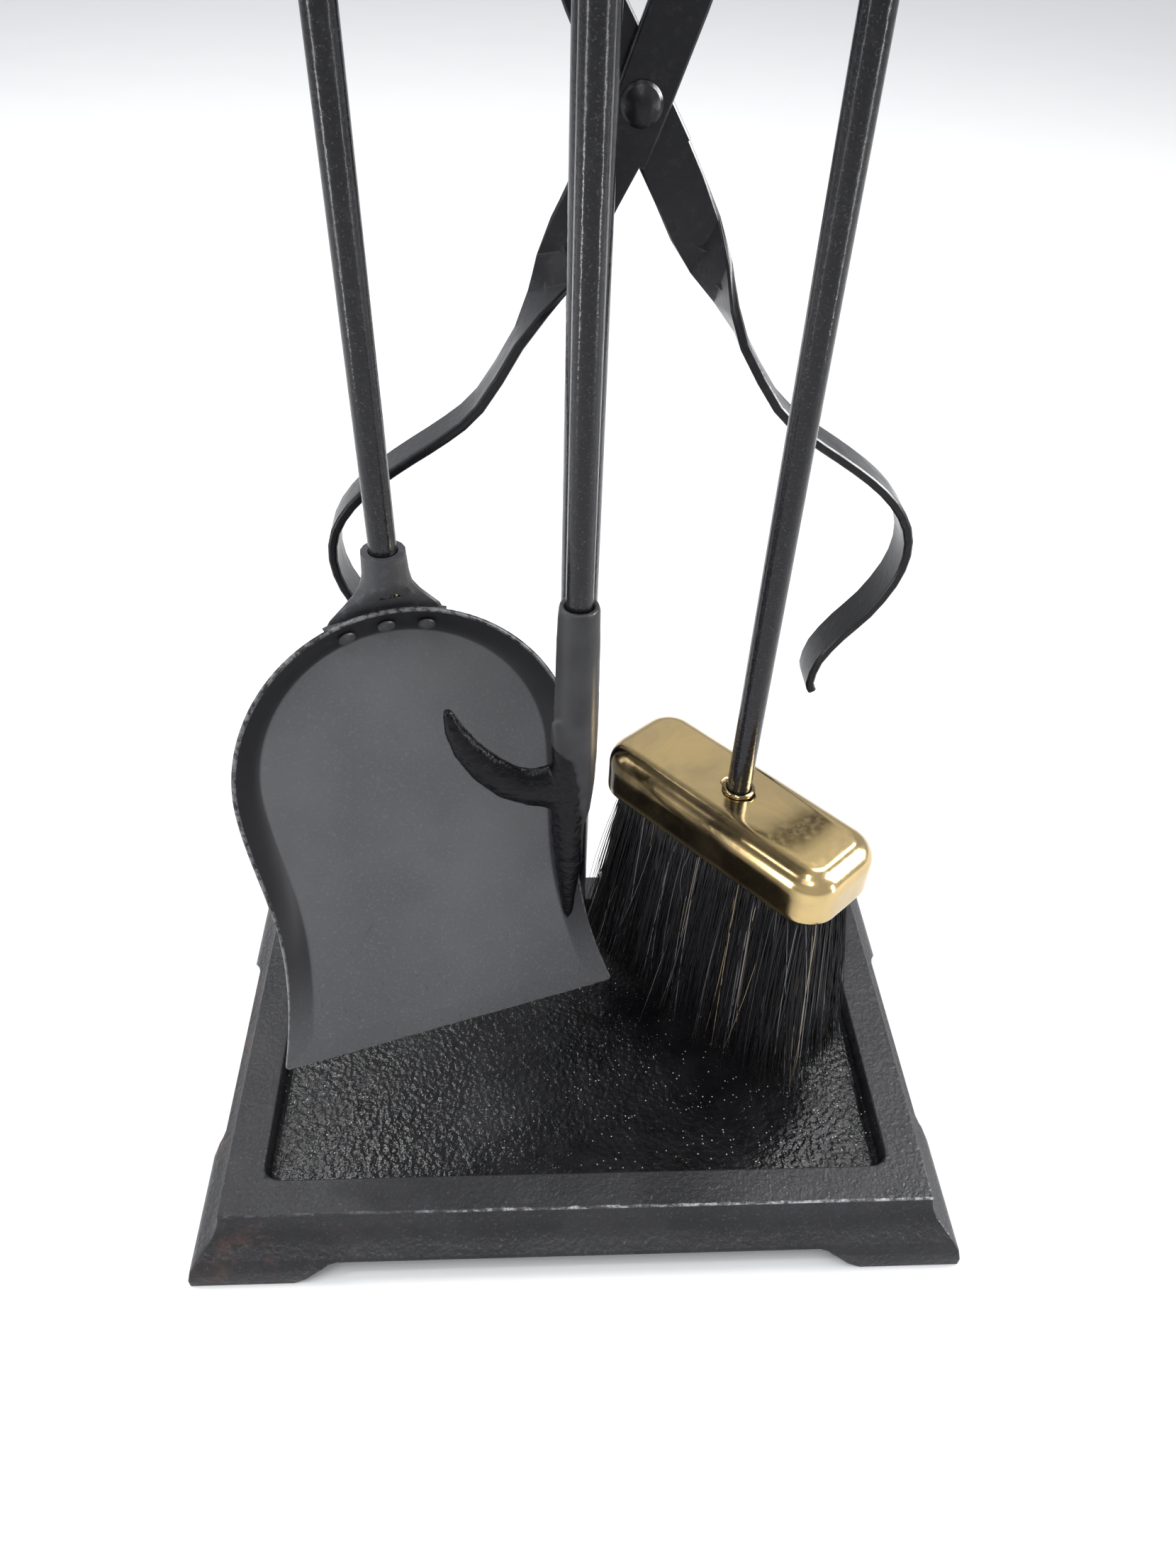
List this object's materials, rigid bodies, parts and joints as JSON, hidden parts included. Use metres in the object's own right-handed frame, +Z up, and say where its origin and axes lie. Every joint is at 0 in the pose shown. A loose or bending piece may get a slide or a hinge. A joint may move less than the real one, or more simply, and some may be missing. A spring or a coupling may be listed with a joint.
{
  "type": "fireplace tool set",
  "caption": "Hearth companion set: a moulded cast base with an ash tray and a column whose forked holder carries a poker, shovel, brush and scissor tongs with turned grips.",
  "frame": {"origin": "centre of the base's footprint, on the hearth", "axes": "+X to the right seen from the front, +Y to the back where the column stands, +Z up"},
  "size_m": [0.305, 0.203, 0.785],
  "materials": {
    "base_iron": "matte black powder coat, glossy in the tray",
    "rod_steel": "satin black enamel",
    "pan_steel": "satin dark grey, worn at the edge",
    "forged_iron": "rough glossy black",
    "brass": "antique, tarnished with rubbed edges",
    "zinc": "zinc plated",
    "beech": "unvarnished",
    "bristle": "stiff black fibre"
  },
  "bodies": {
    "stand": {"base_casting": "base_iron", "column": "rod_steel", "column_washer": "zinc", "column_nut": "zinc", "tool_holder": "base_iron", "finial_handle": "brass"},
    "poker": {"poker_head": "forged_iron", "poker_rod": "rod_steel", "poker_collar": "brass", "poker_handle": "brass"},
    "shovel": {"shovel_blade": "pan_steel", "shovel_bracket": "forged_iron", "shovel_rivet_left": "rod_steel", "shovel_rivet_middle": "rod_steel", "shovel_rivet_right": "rod_steel", "shovel_rod": "rod_steel", "shovel_collar": "brass", "shovel_handle": "brass"},
    "brush": {"brush_cap": "brass", "brush_block": "beech", "brush_bristles": "bristle", "brush_ferrule": "brass", "brush_nut": "zinc", "brush_rod": "rod_steel", "brush_collar": "brass", "brush_handle": "brass"},
    "tongs": {"tongs_fixed_arm": "rod_steel", "tongs_pivot_rivet": "rod_steel", "tongs_rod": "rod_steel", "tongs_rod_rivet": "rod_steel", "tongs_collar": "brass", "tongs_handle": "brass"},
    "tongs_swing": {"tongs_swing_arm": "rod_steel", "tongs_swing_knob": "brass"}
  },
  "joints": [
    {"name": "poker_lift_off", "type": "slide", "parent": "stand", "child": "poker", "axis": [-0.037, -0.7061, 0.7071], "range_m": [0, 0.35]},
    {"name": "shovel_lift_off", "type": "slide", "parent": "stand", "child": "shovel", "axis": [-0.7061, 0.037, 0.7071], "range_m": [0, 0.35]},
    {"name": "brush_lift_off", "type": "slide", "parent": "stand", "child": "brush", "axis": [0.7061, -0.037, 0.7071], "range_m": [0, 0.35]},
    {"name": "tongs_lift_off", "type": "slide", "parent": "stand", "child": "tongs", "axis": [0.037, 0.7061, 0.7071], "range_m": [0, 0.35]},
    {"name": "tongs_pivot", "type": "hinge", "parent": "tongs", "child": "tongs_swing", "pos_m": [0.015, 0.08, 0.371], "axis": [0, -1, 0], "range_deg": [-5, 40]}
  ]
}
